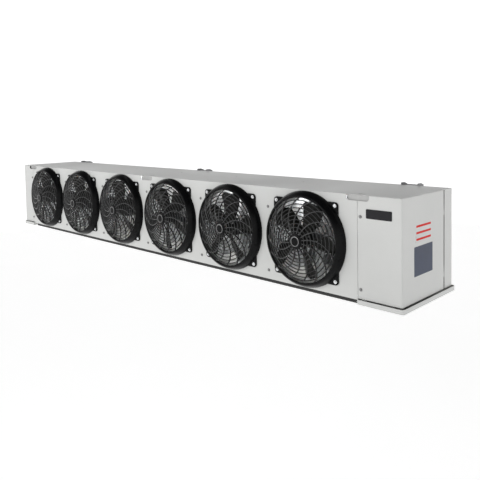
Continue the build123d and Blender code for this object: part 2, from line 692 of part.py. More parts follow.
# ---------------------------------------------------------------- drain pan, hinged at its rear edge
pan_front = front - pan_overhang
pan_back = back + pan_rear_overhang
rim = bottom - pan_rim_gap
pan_hinge_y = back + pan_hinge_back
pan_hinge_z = bottom - pan_hinge_drop
trough_front = front + pan_trough_inset
drain_x = seam_right - drain_inset
drain_y = back - drain_inset
with BuildPart() as drain_pan:
    for end, seam, out in ((left, seam_left, -1), (right, seam_right, 1)):
        x0, x1 = sorted((end + out * pan_overhang, seam + out * pan_step))
        span(x0, x1, pan_front, pan_back, bottom - pan_end_depth, rim)
    upright = drain_pan.edges().filter_by(Axis.Z)
    fillet(upright.sort_by(Axis.X)[:2] + upright.sort_by(Axis.X)[-2:], pan_corner)
    span(seam_left - pan_step, seam_right + pan_step, trough_front, pan_back, bottom - pan_trough_depth, rim)
    # hollow the trough and the two end trays into one open tray
    for end, seam, out in ((left, seam_left, -1), (right, seam_right, 1)):
        x0, x1 = sorted((end + out * (pan_overhang - pan_sheet), seam + out * (pan_step + pan_sheet)))
        with BuildPart(mode=Mode.PRIVATE) as tray:
            span(x0, x1, pan_front + pan_sheet, pan_back - pan_sheet, bottom - pan_end_depth + pan_sheet, rim)
            fillet(tray.edges().filter_by(Axis.Z).group_by(Axis.X)[-1 if out > 0 else 0], pan_corner - pan_sheet)
        add(tray.part, mode=Mode.SUBTRACT)
        x0, x1 = sorted((seam, seam + out * (pan_step + pan_sheet + 1)))
        span(x0, x1, trough_front + pan_sheet, pan_back - pan_sheet, bottom - pan_end_depth + pan_sheet, rim,
             Mode.SUBTRACT)
    span(seam_left - pan_step + pan_sheet, seam_right + pan_step - pan_sheet, trough_front + pan_sheet,
         pan_back - pan_sheet, bottom - pan_trough_depth + pan_sheet, rim, Mode.SUBTRACT)
    # hinge ears, and the notches that let the fixed plates through the rear wall
    for end, out in ((left, -1), (right, 1)):
        ear = end - out * pan_hinge_inset
        x0, x1 = sorted((ear, ear + out * pan_ear_plate))
        span(x0, x1, pan_hinge_y - pan_ear, pan_hinge_y + pan_ear, bottom - pan_end_depth + pan_sheet,
             pan_hinge_z + pan_ear)
        with BuildSketch(Plane.YZ.offset(x0)):
            with Locations((pan_hinge_y, pan_hinge_z)):
                Circle(pan_pin + hinge_clearance)
        extrude(amount=pan_ear_plate, mode=Mode.SUBTRACT)
        x0, x1 = sorted((ear - out * 5, ear + out))
        span(x0, x1, pan_back - pan_sheet, pan_back, pan_hinge_z - 1, rim, Mode.SUBTRACT)
    with BuildSketch(Plane.XY.offset(bottom - pan_trough_depth)):
        with Locations((drain_x, drain_y)):
            RegularPolygon(drain_bore, 12, major_radius=False)
    extrude(amount=pan_sheet, mode=Mode.SUBTRACT)
drain_pan.part.label = "drain_pan"
export_step(drain_pan.part, "parts/drain_pan.step")

with BuildPart() as drain_fitting:
    with BuildSketch(Plane.XY.offset(bottom - pan_trough_depth)):
        with Locations((drain_x, drain_y)):
            RegularPolygon(19, 6)
    extrude(amount=-6)
    with BuildSketch(Plane.XY.offset(bottom - pan_trough_depth - 6)):
        with Locations((drain_x, drain_y)):
            Circle(drain_radius)
    extrude(amount=-drain_length)
    with BuildSketch(Plane.XY.offset(bottom - pan_trough_depth)):
        with Locations((drain_x, drain_y)):
            RegularPolygon(drain_bore, 12, major_radius=False)
    extrude(amount=-(drain_length + 6), mode=Mode.SUBTRACT)
drain_fitting.part.label = "drain_fitting"
export_step(drain_fitting.part, "parts/drain_fitting.step")

with BuildPart() as pan_hinge_plates:
    for end, out in ((left, -1), (right, 1)):
        ear = end - out * pan_hinge_inset
        plate = ear - out * seat_gap
        x0, x1 = sorted((plate, plate - out * pan_ear_plate))
        rise = bottom + 22
        with BuildSketch(Plane.YZ.offset(x0)):
            with BuildLine():
                Polyline((casing_back, rise), (casing_back, bottom + 1),
                         (pan_hinge_y - pan_ear, pan_hinge_z), (pan_hinge_y - 3, pan_hinge_z - pan_ear + 1),
                         (pan_hinge_y + 3, pan_hinge_z - pan_ear + 1), (pan_hinge_y + pan_ear, pan_hinge_z),
                         (pan_hinge_y - 3, pan_hinge_z + 11), (casing_back + 4, rise), close=True)
            make_face()
        extrude(amount=pan_ear_plate)
        x0, x1 = sorted((plate, plate - out * 16))
        span(x0, x1, casing_back, casing_back + sheet, bottom + 2, rise)
        with BuildSketch(Plane.YZ.offset(plate)):
            with Locations((pan_hinge_y, pan_hinge_z)):
                Circle(pan_pin)
        extrude(amount=out * (seat_gap + pan_ear_plate + 1.5))
pan_hinge_plates.part.label = "pan_hinge_plates"
export_step(pan_hinge_plates.part, "parts/pan_hinge_plates.step")
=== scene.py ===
# %% [markdown]
# # Walk-in unit cooler
# A long, low evaporator that hangs from a cold room's ceiling: six guarded axial fans in a painted sheet
# metal cabinet, a finned coil behind them, a bay behind a hinged cover at each end and a drain pan below.
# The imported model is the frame. Its nodes, joints and record say where everything is, so places are read
# from it and not typed in again. Lengths are in metres.

# %% load the frame
import json
import math
import random

import bmesh
import bpy
from mathutils import Matrix, Vector


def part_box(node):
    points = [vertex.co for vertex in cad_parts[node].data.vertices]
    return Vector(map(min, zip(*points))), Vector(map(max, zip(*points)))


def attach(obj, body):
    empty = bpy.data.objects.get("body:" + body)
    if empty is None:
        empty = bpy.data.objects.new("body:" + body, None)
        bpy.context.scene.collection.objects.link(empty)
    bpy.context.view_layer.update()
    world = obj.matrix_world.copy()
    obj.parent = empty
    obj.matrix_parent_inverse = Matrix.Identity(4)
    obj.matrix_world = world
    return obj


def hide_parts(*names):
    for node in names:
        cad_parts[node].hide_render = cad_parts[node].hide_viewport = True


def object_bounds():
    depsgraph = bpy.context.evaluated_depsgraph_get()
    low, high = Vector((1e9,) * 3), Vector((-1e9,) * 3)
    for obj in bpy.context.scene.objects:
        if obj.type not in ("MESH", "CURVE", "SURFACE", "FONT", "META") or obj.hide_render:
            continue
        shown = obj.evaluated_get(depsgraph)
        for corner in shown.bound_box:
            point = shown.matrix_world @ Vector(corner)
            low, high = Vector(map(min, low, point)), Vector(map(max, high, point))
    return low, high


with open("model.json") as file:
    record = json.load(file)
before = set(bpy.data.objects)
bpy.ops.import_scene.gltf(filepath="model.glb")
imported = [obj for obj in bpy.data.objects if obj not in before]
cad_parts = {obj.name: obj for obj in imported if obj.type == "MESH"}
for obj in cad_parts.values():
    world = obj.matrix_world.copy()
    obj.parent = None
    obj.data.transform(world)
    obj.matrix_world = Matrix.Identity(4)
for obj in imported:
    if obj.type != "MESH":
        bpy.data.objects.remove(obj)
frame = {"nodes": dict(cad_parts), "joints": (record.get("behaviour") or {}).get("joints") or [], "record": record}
cad_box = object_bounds()
joints = {joint["name"]: joint for joint in frame["joints"]}

# %% [markdown]
# ## Camera
# The eye is a little above the roof and off the right-hand end, so that the fan face, the right end and a
# sliver of the roof show. The camera could be tipped down to centre the unit. It stays nearly level and its
# lens is shifted instead, because that keeps the upright edges upright.

# %% camera
eye = Vector((2.34516, -1.91785, 0.26399))
yaw, pitch, roll = 0.7795, 0.0539, -0.0185
ahead = Vector((-math.sin(yaw) * math.cos(pitch), math.cos(yaw) * math.cos(pitch), -math.sin(pitch)))
level = Vector((math.cos(yaw), math.sin(yaw), 0))
upward = level.cross(ahead)
right = level * math.cos(roll) + upward * math.sin(roll)
up = upward * math.cos(roll) - level * math.sin(roll)
lens_data = bpy.data.cameras.new("camera")
lens_data.sensor_width = 36
lens_data.lens = 43.11
lens_data.shift_y = -0.1823
lens_data.clip_start = 0.05
camera = bpy.data.objects.new("camera", lens_data)
camera.matrix_world = Matrix.Translation(eye) @ Matrix((right, up, -ahead)).transposed().to_4x4()
bpy.context.scene.collection.objects.link(camera)
bpy.context.scene.camera = camera
print("camera at", [round(v, 3) for v in eye])

# %% [markdown]
# ## Studio light
# Such a unit is shown in a white studio: a bright sweep all round and a dim ceiling, which leaves the roof
# greyer than the face. A studio image could light it, but a sky that fades from the horizon up does the same
# with a few numbers. Colours are shown plainly, with no film curve.


# %% studio sky
def add_node(tree, kind, values=()):
    """A new node in a material's or the world's tree, with the given (input, value) pairs set."""
    made = tree.nodes.new(kind)
    for socket, value in values:
        made.inputs[socket].default_value = value
    return made


scene = bpy.context.scene
scene.view_settings.view_transform = "Standard"
sweep_strength, ceiling_strength = 1.14, 0.10
fade_from, fade_to = 0.22, 0.6
world = bpy.data.worlds.new("studio")
scene.world = world
world.use_nodes = True
sky = world.node_tree
backdrop = sky.nodes["Background"]
backdrop.inputs["Color"].default_value = (1, 1, 1, 1)
direction = add_node(sky, "ShaderNodeTexCoord")
split = add_node(sky, "ShaderNodeSeparateXYZ")
fade = add_node(sky, "ShaderNodeMapRange", [("From Min", fade_from), ("From Max", fade_to),
                                            ("To Min", sweep_strength), ("To Max", ceiling_strength)])
sky.links.new(direction.outputs["Generated"], split.inputs[0])
sky.links.new(split.outputs["Z"], fade.inputs["Value"])
sky.links.new(fade.outputs["Result"], backdrop.inputs["Strength"])
print("sky strength from", sweep_strength, "to", ceiling_strength)

# %% [markdown]
# Three soft panels add the shape. A broad one evens the fan face, a narrow one draws a line along the roof's
# front edge, and a strip between the fans and the coil stands for the daylight that comes through the fins.
# Bare lamps would be simpler, but their hard shadows would show the grilles twice.


# %% soft panels
def soft_light(name, place, aim, width, height, power):
    """A large soft panel that stands at place and faces aim."""
    data = bpy.data.lights.new(name, "AREA")
    data.shape = "RECTANGLE"
    data.size = width
    data.size_y = height
    data.energy = power
    lamp = bpy.data.objects.new(name, data)
    lamp.location = place
    lamp.rotation_euler = (Vector(aim) - Vector(place)).to_track_quat("-Z", "Y").to_euler()
    scene.collection.objects.link(lamp)
    return lamp


soft_light("front_softbox", place=(-0.6, -2.7, 0.9), aim=(0.0, -0.2, -0.2), width=2.6, height=0.5, power=22)
soft_light("top_strip", place=(-0.3, -0.6, 1.5), aim=(0.0, -0.25, -0.2), width=3.2, height=0.12, power=1.8)
coil_strip = soft_light("coil_strip", place=(-0.015, -0.035, -0.034), aim=(-0.015, 0.06, -0.022), width=2.42,
                        height=0.04, power=12)
coil_strip.visible_camera = False

# %% [markdown]
# ## Materials
# A real finish varies at several scales: a slow drift of tone, a fine grain in the gloss and a small relief.
# Each material could be wired by hand. One helper per layer is shorter, and every finish then differs only in
# its figures.


# %% layers of a finish
def lay_colour(tree, pattern, light, dark):
    """Sends a pattern to the base colour, from dark to light."""
    tone = add_node(tree, "ShaderNodeValToRGB")
    for stop, position, colour in zip(tone.color_ramp.elements, (0.32, 0.68), (dark, light)):
        stop.position = position
        stop.color = (*colour, 1)
    tree.links.new(pattern, tone.inputs["Fac"])
    tree.links.new(tone.outputs["Color"], tree.nodes["Principled BSDF"].inputs["Base Color"])


def lay_gloss(tree, pattern, gloss):
    """Sends a pattern to the roughness, from the smoothest value in gloss to the roughest."""
    sheen = add_node(tree, "ShaderNodeMapRange", [("From Min", 0.3), ("From Max", 0.7), ("To Min", gloss[0]),
                                                  ("To Max", gloss[1])])
    tree.links.new(pattern, sheen.inputs["Value"])
    tree.links.new(sheen.outputs["Result"], tree.nodes["Principled BSDF"].inputs["Roughness"])


def lay_relief(tree, pattern, relief, edge):
    """Sends a pattern to the surface normal, and rounds the look of sharp edges to the radius edge."""
    bump = add_node(tree, "ShaderNodeBump", [("Distance", relief), ("Strength", 0.5)])
    tree.links.new(pattern, bump.inputs["Height"])
    if edge:
        soften = add_node(tree, "ShaderNodeBevel", [("Radius", edge)])
        soften.samples = 6
        tree.links.new(soften.outputs["Normal"], bump.inputs["Normal"])
    tree.links.new(bump.outputs["Normal"], tree.nodes["Principled BSDF"].inputs["Normal"])


# %% [markdown]
# The helper below lays all three. The noise sits in the object's own space, so it stays on a piece that
# moves. Galvanised steel has crystals in place of the drift, and they come from a cell pattern.


# %% finish helper
def finish(name, light, dark, gloss, grain, relief, metal=0.0, drift=3.0, stretch=(1, 1, 1), edge=0.0,
           lacquer=0.0, spangle=0.0, shine=0.5):
    """A surface whose colour drifts from light to dark, with grain in its roughness and its relief.
    gloss is (smoothest, roughest), grain the grains per metre, relief their height in metres, and edge
    the radius of the folded or moulded edges."""
    made = bpy.data.materials.new(name)
    made.use_nodes = True
    tree = made.node_tree
    shader = tree.nodes["Principled BSDF"]
    shader.inputs["Metallic"].default_value = metal
    shader.inputs["Specular IOR Level"].default_value = shine
    shader.inputs["Coat Weight"].default_value = lacquer
    shader.inputs["Coat Roughness"].default_value = 0.12
    place = add_node(tree, "ShaderNodeTexCoord")
    shape = add_node(tree, "ShaderNodeMapping", [("Scale", stretch)])
    cloud = add_node(tree, "ShaderNodeTexNoise", [("Scale", drift), ("Detail", 5), ("Roughness", 0.62)])
    speck = add_node(tree, "ShaderNodeTexNoise", [("Scale", grain), ("Detail", 2)])
    tree.links.new(place.outputs["Object"], shape.inputs["Vector"])
    tree.links.new(shape.outputs["Vector"], cloud.inputs["Vector"])
    tree.links.new(shape.outputs["Vector"], speck.inputs["Vector"])
    shade = cloud.outputs["Fac"]
    if spangle:
        crystals = add_node(tree, "ShaderNodeTexVoronoi", [("Scale", spangle)])
        tree.links.new(shape.outputs["Vector"], crystals.inputs["Vector"])
        shade = crystals.outputs["Color"]
    lay_colour(tree, shade, light, dark)
    lay_gloss(tree, cloud.outputs["Fac"], gloss)
    lay_relief(tree, speck.outputs["Fac"], relief, edge)
    return made


# %% [markdown]
# The cabinet is coil-coated sheet in a warm white. The film is nearly even, with a faint orange peel. The
# folds have no softened edge in the material, because it darkens the edges of thin sheet.
# The bare metal inside is galvanised, the hangers are one zinc in a painted-shade and a painted-light copy, and
# the screws are dull or bright zinc.

# %% sheet metal finishes
paint = finish("white_coil_coat", (0.645, 0.650, 0.637), (0.595, 0.601, 0.588), gloss=(0.30, 0.42),
               grain=900, relief=0.00006, drift=2.2)
galvanised = finish("galvanised_steel", (0.70, 0.71, 0.72), (0.54, 0.55, 0.56), gloss=(0.40, 0.60),
                    grain=400, relief=0.00004, metal=0.35, edge=0.0006, spangle=70)
# The hangers' zinc in its darker copy is painted shade, for the rear hangers, which stand in shade.
hanger_zinc_shaded_copy = finish("hanger_zinc_painted_shade", (0.30, 0.305, 0.31), (0.17, 0.17, 0.175), gloss=(0.45, 0.65),
                      grain=500, relief=0.00006, metal=0.8, drift=14, edge=0.0008)
screw_zinc = finish("bright_zinc_screw", (0.86, 0.87, 0.88), (0.66, 0.67, 0.68), gloss=(0.16, 0.34),
                    grain=1800, relief=0.00002, metal=1.0, drift=60)
screw_grey = finish("weathered_zinc_screw", (0.34, 0.34, 0.34), (0.20, 0.20, 0.20), gloss=(0.3, 0.5),
                    grain=1800, relief=0.00002, metal=1.0, drift=60)
# The hangers' zinc in its lighter copy is painted light, for the tabs of the front hangers.
tab_zinc_lit_copy = finish("hanger_zinc_painted_light", (0.50, 0.50, 0.49), (0.36, 0.36, 0.36), gloss=(0.40, 0.58),
                  grain=600, relief=0.00004, metal=0.7, drift=20, edge=0.0006)
print("sheet metal finishes made")

# %% [markdown]
# The guards are injection moulded in black with a fine satin texture. The ribs get their own, slightly paler
# version, and the paler colour is a painted highlight for the light that thin bars catch all round. The blades are
# a smoother black that mirrors the room a little, and the motors are baked enamel.

# %% black finishes
guard_plastic = finish("satin_black_moulding", (0.0040, 0.0042, 0.0046), (0.0022, 0.0023, 0.0025),
                       gloss=(0.18, 0.30), grain=2600, relief=0.00005, drift=9, shine=0.10)
# The ribs' paler black is a painted highlight for the light that thin bars catch.
rib_plastic_painted_highlight = finish("satin_black_rib_painted_highlight", (0.012, 0.0124, 0.0132), (0.007, 0.0072, 0.0078), gloss=(0.16, 0.28),
                     grain=2600, relief=0.00004, drift=30, shine=0.5)
blade_plastic = finish("glossy_black_blade", (0.014, 0.014, 0.012), (0.006, 0.006, 0.0055), gloss=(0.14, 0.26),
                       grain=1500, relief=0.00002, drift=12, shine=0.2)
motor_enamel = finish("motor_enamel", (0.030, 0.030, 0.032), (0.015, 0.015, 0.016), gloss=(0.32, 0.5),
                      grain=1200, relief=0.00005, drift=20, edge=0.001)
rubber = finish("grommet_rubber", (0.022, 0.022, 0.022), (0.012, 0.012, 0.012), gloss=(0.62, 0.85),
                grain=1400, relief=0.0001, drift=30, edge=0.0008)
print("black finishes made")

# %% [markdown]
# The coil is bare aluminium fins on copper tubes. Fin stock is rolled, so its grain is stretched one way, and the
# copper has the dull rose patches that brazing leaves. The fins' colour is partly the aluminium's own grey and
# partly painted shade, darker than new foil for the deep gaps between them, from which little light comes back
# out.

# %% coil and fitting finishes
# The fin colour is partly the aluminium's grey and partly painted shade, darkened for the deep gaps between the
# fins.
aluminium = finish("fin_stock_painted_shade", (0.36, 0.365, 0.37), (0.27, 0.275, 0.28), gloss=(0.36, 0.55), grain=300,
                   relief=0.00005, metal=0.5, drift=26, stretch=(1, 1, 0.15))
copper = finish("drawn_copper", (0.72, 0.36, 0.22), (0.42, 0.19, 0.12), gloss=(0.22, 0.48), grain=600,
                relief=0.00004, metal=1.0, drift=24)
brass = finish("valve_brass", (0.74, 0.56, 0.27), (0.52, 0.37, 0.17), gloss=(0.2, 0.42), grain=900,
               relief=0.00004, metal=1.0, drift=34, edge=0.0008)
terminal_plastic = finish("terminal_plastic", (0.52, 0.52, 0.50), (0.42, 0.42, 0.40), gloss=(0.4, 0.55),
                          grain=1500, relief=0.00005, drift=22, edge=0.0006)
drain_plastic = finish("drain_fitting_plastic", (0.62, 0.62, 0.60), (0.50, 0.50, 0.48), gloss=(0.34, 0.5),
                       grain=1200, relief=0.00005, drift=18, edge=0.0008)
print("coil and fitting finishes made")

# %% [markdown]
# The plates on the right end are blank: a rating plate in blue-grey, a pale sticker with red stripes and no
# words, and a dark glossy badge that carries nothing. The floor glows a little, which keeps a plain white
# sweep white without more lamps.

# %% plate and floor finishes
rating_blue = finish("rating_plate_film", (0.052, 0.066, 0.112), (0.036, 0.047, 0.082), gloss=(0.30, 0.42),
                     grain=700, relief=0.00003, drift=16, shine=0.25)
sticker_pale = finish("sticker_vinyl", (0.66, 0.66, 0.65), (0.58, 0.58, 0.57), gloss=(0.26, 0.38), grain=700,
                      relief=0.00003, drift=14)
sticker_red = finish("sticker_red_print", (0.70, 0.018, 0.010), (0.62, 0.012, 0.008), gloss=(0.34, 0.46),
                     grain=900, relief=0.00002, drift=30, shine=0.12)
badge_gloss = finish("badge_dark_film", (0.012, 0.012, 0.015), (0.008, 0.008, 0.010), gloss=(0.10, 0.22),
                     grain=900, relief=0.00002, drift=22, lacquer=0.15, shine=0.2)
floor_pale = finish("studio_floor", (0.90, 0.90, 0.90), (0.86, 0.86, 0.86), gloss=(0.5, 0.7), grain=60,
                    relief=0.0002, drift=1.2)
floor_shader = floor_pale.node_tree.nodes["Principled BSDF"]
floor_shader.inputs["Emission Color"].default_value = (1, 1, 1, 1)
floor_shader.inputs["Emission Strength"].default_value = 0.7
print("materials:", len(bpy.data.materials))

# %% [markdown]
# ## Finishes on the frame's own nodes
# Folded sheet, motors and brackets already have their true shape in the frame, so they aren't made again.
# Each node takes the finish of the slot that the record gives it. The front hangers then get the lighter copy of
# the hangers' zinc, which is painted light, and the rear ones keep the darker copy, which is painted shade.

# %% finishes by slot
by_slot = {"cabinet_white": paint, "galvanised": galvanised, "hanger_steel": hanger_zinc_shaded_copy,
           "guard_black": guard_plastic, "fan_black": blade_plastic, "motor_black": motor_enamel,
           "screw_zinc": screw_zinc, "fin_aluminium": aluminium, "copper": copper, "valve_brass": brass,
           "grommet_rubber": rubber, "terminal_plastic": terminal_plastic, "drain_plastic": drain_plastic}
for part in frame["record"]["subparts"]:
    node = frame["nodes"][part["node"]]
    if not node.material_slots:
        node.data.materials.append(None)
    for holder in node.material_slots:
        holder.material = by_slot[part["material_slot"]]
# The front hangers get the lighter copy of the zinc, which is painted light.
for place in ("left", "middle", "right"):
    for holder in frame["nodes"][f"front_hanger_{place}"].material_slots:
        holder.material = tab_zinc_lit_copy

# %% [markdown]
# ## Mesh helpers
# Round shapes could be spun or bevelled with modifiers. Here each shape is a row of rings of points, joined in
# order, because one way then covers turned, swept and extruded pieces, and the faces come out four-sided.


# %% mesh helpers
def ring_of(place, radius, height, sides, phase=0.0):
    """Points round a circle at a height, in the local space of the matrix place."""
    return [place @ Vector((radius * math.cos(phase + math.tau * k / sides),
                            radius * math.sin(phase + math.tau * k / sides), height)) for k in range(sides)]


def bridge(mesh, rings, closed_loop=False):
    """Joins each ring of points to the next one with four-sided faces."""
    made = [[mesh.verts.new(point) for point in ring] for ring in rings]
    count = len(made[0])
    pairs = list(zip(made, made[1:])) + ([(made[-1], made[0])] if closed_loop else [])
    for first, second in pairs:
        for i in range(count):
            j = (i + 1) % count
            mesh.faces.new((first[i], first[j], second[j], second[i]))
    return made


def capped(mesh, rings):
    """Joins the rings and closes the first and the last one with a face."""
    made = bridge(mesh, rings)
    mesh.faces.new(made[0])
    mesh.faces.new(made[-1])


def turned(mesh, profile, sides, closed_profile=False, place=Matrix.Identity(4)):
    """Swings a profile of (radius, height) about the local Z axis of place."""
    rings = [ring_of(place, radius, height, sides) for radius, height in profile]
    if closed_profile:
        bridge(mesh, rings, closed_loop=True)
    else:
        capped(mesh, rings)


def paint_from(mesh, first_face, index):
    """Gives every face from first_face on the material of that index."""
    mesh.faces.ensure_lookup_table()
    for face in mesh.faces[first_face:]:
        face.material_index = index


# %% [markdown]
# The next helpers finish a mesh and hang the object on its body. Edges sharper than a given angle stay crisp,
# so a moulding shades smoothly and still has its corners.


# %% piece helpers
def mesh_from(name, mesh, materials, smooth=40):
    """A finished mesh with its faces turned outwards and shaded smooth up to the given angle."""
    bmesh.ops.recalc_face_normals(mesh, faces=mesh.faces)
    data = bpy.data.meshes.new(name)
    mesh.to_mesh(data)
    mesh.free()
    for used in materials:
        data.materials.append(used)
    data.shade_smooth()
    data.set_sharp_from_angle(angle=math.radians(smooth))
    return data


def stand(name, data, body, slot, *nodes, place=Matrix.Identity(4)):
    """Puts a piece in place, hangs it on its body and says which nodes it stands for."""
    piece = bpy.data.objects.new(name, data)
    bpy.context.scene.collection.objects.link(piece)
    piece.matrix_world = place
    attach(piece, body)
    if nodes:
        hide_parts(*nodes)


def facing_front(place):
    """Local X stays to the right, local Y is up and local Z comes out of the fan face."""
    return Matrix.Translation(place) @ Matrix(((1, 0, 0), (0, 0, -1), (0, 1, 0))).to_4x4()


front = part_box("fan_panel")[0].y
fan_places = [Vector(joints[f"fan_{i}_spin"]["pos_m"]) for i in range(1, 7)]
print("fan face at y", round(front, 4), "fans at x", [round(p.x, 3) for p in fan_places])

# %% [markdown]
# ## Fan guards
# Each guard is one moulding: a rounded shroud that stands off the panel on four ears, and a grille of swept
# ribs and hoops that domes out to a blank cap. A lattice modifier on a flat grille could dome it, but the
# bars would lose their even section. So the dome is a curve, and each rib and hoop is swept along it.

# %% guard figures
shroud_profile = [(0.1810, 0.0), (0.1840, 0.0), (0.1840, 0.0050), (0.1830, 0.0085), (0.1806, 0.0150),
                  (0.1776, 0.0215), (0.1744, 0.0270), (0.1716, 0.0308), (0.1690, 0.0334), (0.1664, 0.0347),
                  (0.1642, 0.0349), (0.1622, 0.0344), (0.1608, 0.0330), (0.1606, 0.0300), (0.1620, 0.0280),
                  (0.1650, 0.0290), (0.1690, 0.0270), (0.1735, 0.0205), (0.1785, 0.0100)]
grille_rim, grille_hub = 0.161, 0.027
rib_count, rib_width, rib_depth, rib_steps = 16, 0.0046, 0.0060, 14
rib_turn, rib_phase = math.radians(34), math.radians(12.9)
rib_inner, rib_outer = grille_hub - 0.006, grille_rim + 0.002
hoop_count, hoop_width, hoop_depth, hoop_steps = 9, 0.0040, 0.0045, 80
first_hoop, hoop_pitch, hoop_sink = grille_hub + 0.0111, 0.0142, 0.0008


def dome(radius):
    """How far the grille's outer face stands in front of the panel at a radius."""
    share = (radius - grille_hub) / (grille_rim - grille_hub)
    return 0.0335 + 0.0280 * (1 - share ** 1.35)


def rib_angle(radius, k):
    """The direction of rib k at a radius: it trails clockwise as it goes out."""
    share = max(0.0, (radius - grille_hub) / (grille_rim - grille_hub))
    return rib_phase + math.tau * k / rib_count - rib_turn * share ** 2


print("guard: dome from", round(dome(grille_rim), 4), "to", round(dome(grille_hub), 4))

# %% [markdown]
# A rib or a hoop has a crowned front and a draft on its sides, as the tool needs, and it is deeper than wide.
# A round wire would be quicker, but moulded bars have flat flanks that hide what is behind them from the side.


# %% ribs
def bar_section(centre, outward, across, width, depth):
    """Six points round a moulded bar: a crowned front and sides that taper to the back."""
    half, crown = width / 2, 0.0011
    return [centre + across * half * s + outward * d for s, d in
            ((-0.55, 0.0), (0.55, 0.0), (1.0, -crown), (0.72, -depth), (-0.72, -depth), (-1.0, -crown))]


def on_rib(radius, k, height):
    """The point of rib k at a radius and a height."""
    angle = rib_angle(radius, k)
    return Vector((radius * math.cos(angle), radius * math.sin(angle), height))


guard_mesh = bmesh.new()
turned(guard_mesh, shroud_profile, 96, closed_profile=True)
shroud_faces = len(guard_mesh.faces)
forward = Vector((0, 0, 1))
for k in range(rib_count):
    sections = []
    for step in range(rib_steps + 1):
        radius = rib_inner + (rib_outer - rib_inner) * step / rib_steps
        height = dome(max(radius, grille_hub))
        here = on_rib(radius, k, height)
        across = forward.cross(on_rib(radius + 0.001, k, height) - here).normalized()
        sections.append(bar_section(here, forward, across, rib_width, rib_depth))
    bridge(guard_mesh, sections)
print("shroud and ribs:", len(guard_mesh.faces), "faces")

# %% [markdown]
# The hoops tie the ribs together. They stand a little lower than the ribs, so that the ribs read as running
# over them, and they get the ribs' finish.

# %% hoops
for k in range(hoop_count):
    radius = first_hoop + hoop_pitch * k
    sections = []
    for step in range(hoop_steps):
        angle = math.tau * step / hoop_steps
        outwards = Vector((math.cos(angle), math.sin(angle), 0))
        centre = outwards * radius + forward * (dome(radius) - hoop_sink)
        sections.append(bar_section(centre, forward, outwards, hoop_width, hoop_depth))
    bridge(guard_mesh, sections, closed_loop=True)
paint_from(guard_mesh, shroud_faces, 2)
print("with hoops:", len(guard_mesh.faces), "faces")

# %% [markdown]
# The cap is a shallow turned button. The ears are the corners of a square plate that stick out beyond the
# round shroud, each with a fixing screw. Only the corners are made, because the shroud covers the rest. Their
# top edges are drawn in a little, as a moulding's are.

# %% guard cap and ears
cap_profile = [(0.0290, 0.0540), (0.0300, 0.0590), (0.0290, 0.0618), (0.0262, 0.0634), (0.0225, 0.0646),
               (0.0150, 0.0654), (0.0060, 0.0658)]
turned(guard_mesh, cap_profile, 48)
ear_half, ear_corner, ear_start, under_shroud = 0.152, 0.014, 0.100, 0.178
corner_centre = ear_half - ear_corner
ear_outline = [(ear_half, ear_start), (ear_half, corner_centre)]
for step in range(1, 7):
    angle = math.pi / 2 * step / 6
    ear_outline.append((corner_centre + ear_corner * math.cos(angle),
                        corner_centre + ear_corner * math.sin(angle)))
ear_outline.append((ear_start, ear_half))
for step in range(7):
    angle = math.radians(57 - 24 * step / 6)
    ear_outline.append((under_shroud * math.cos(angle), under_shroud * math.sin(angle)))
ear_middle = Vector((corner_centre, corner_centre, 0))
for quarter in range(4):
    spin = Matrix.Rotation(math.tau * quarter / 4, 3, "Z")
    capped(guard_mesh, [[spin @ (Vector((x, y, 0)).lerp(ear_middle, drawn_in) + forward * height)
                         for x, y in ear_outline]
                        for height, drawn_in in ((0.0, 0.0), (0.0048, 0.0), (0.0058, 0.04))])
print("ears and cap made")

# %% [markdown]
# A bright plain ring is let into the cap. A painted band would have no edge, so the ring is turned from its
# own closed profile. All six guards share one mesh.

# %% guard ring and pieces
ring_profile = [(0.0188, 0.0640), (0.0190, 0.0656), (0.0182, 0.0660), (0.0168, 0.0660), (0.0160, 0.0650)]
faces_before_ring = len(guard_mesh.faces)
turned(guard_mesh, ring_profile, 48, closed_profile=True)
paint_from(guard_mesh, faces_before_ring, 1)
guard_data = mesh_from("guard_moulding", guard_mesh, [guard_plastic, screw_grey, rib_plastic_painted_highlight], smooth=50)
for i, place in enumerate(fan_places, start=1):
    stand(f"guard_moulding_{i}", guard_data, "cabinet", "guard_black", f"guard_{i}",
          place=facing_front(Vector((place.x, front, place.z))))
print("guards:", len(guard_data.polygons), "faces each")

# %% [markdown]
# ## Fans
# Each fan is a moulded hub with five broad blades. A blade is a thin cambered sheet that is steeper and
# narrower at its root, swept forward towards its tip, with rounded corners. A bent plane with a solidify
# modifier would come close, but a formula for the middle surface gives the real twist and taper.

# %% blade surface
blade_count, blade_steps, chord_steps = 5, 14, 12
root_radius, tip_radius = 0.027, 0.148
blade_back = 0.010
root_chord, chord_growth = 0.024, 0.45
root_pitch, pitch_loss, tip_sweep = 33, 14, math.radians(9)
camber = 0.010


def blade_point(share, across):
    """A point of the blade's middle surface: share runs from root to tip and across over the chord."""
    radius = root_radius + (tip_radius - root_radius) * share
    rounding = math.sqrt(max(0.0, 1 - max(0.0, (share - 0.86) / 0.14) ** 2 * 0.55))
    along = across * (root_chord + chord_growth * radius) * rounding
    pitch = math.radians(root_pitch - pitch_loss * share)
    rise = along * math.sin(pitch) + camber * (1 - (2 * across) ** 2)
    angle = tip_sweep * share ** 2 + along * math.cos(pitch) / radius
    return Vector((radius * math.cos(angle), radius * math.sin(angle), blade_back + rise))


print("chord from", round(root_chord + chord_growth * root_radius, 4), "to",
      round(root_chord + chord_growth * tip_radius, 4))

# %% [markdown]
# A blade thins towards its tip. Its front and back are the middle surface moved forward and back, joined at
# the edges. The hub and the shaft are turned. Each fan stopped at its own angle, as fans do, and that angle is
# put into the mesh so that the object's box stays the blades' own.

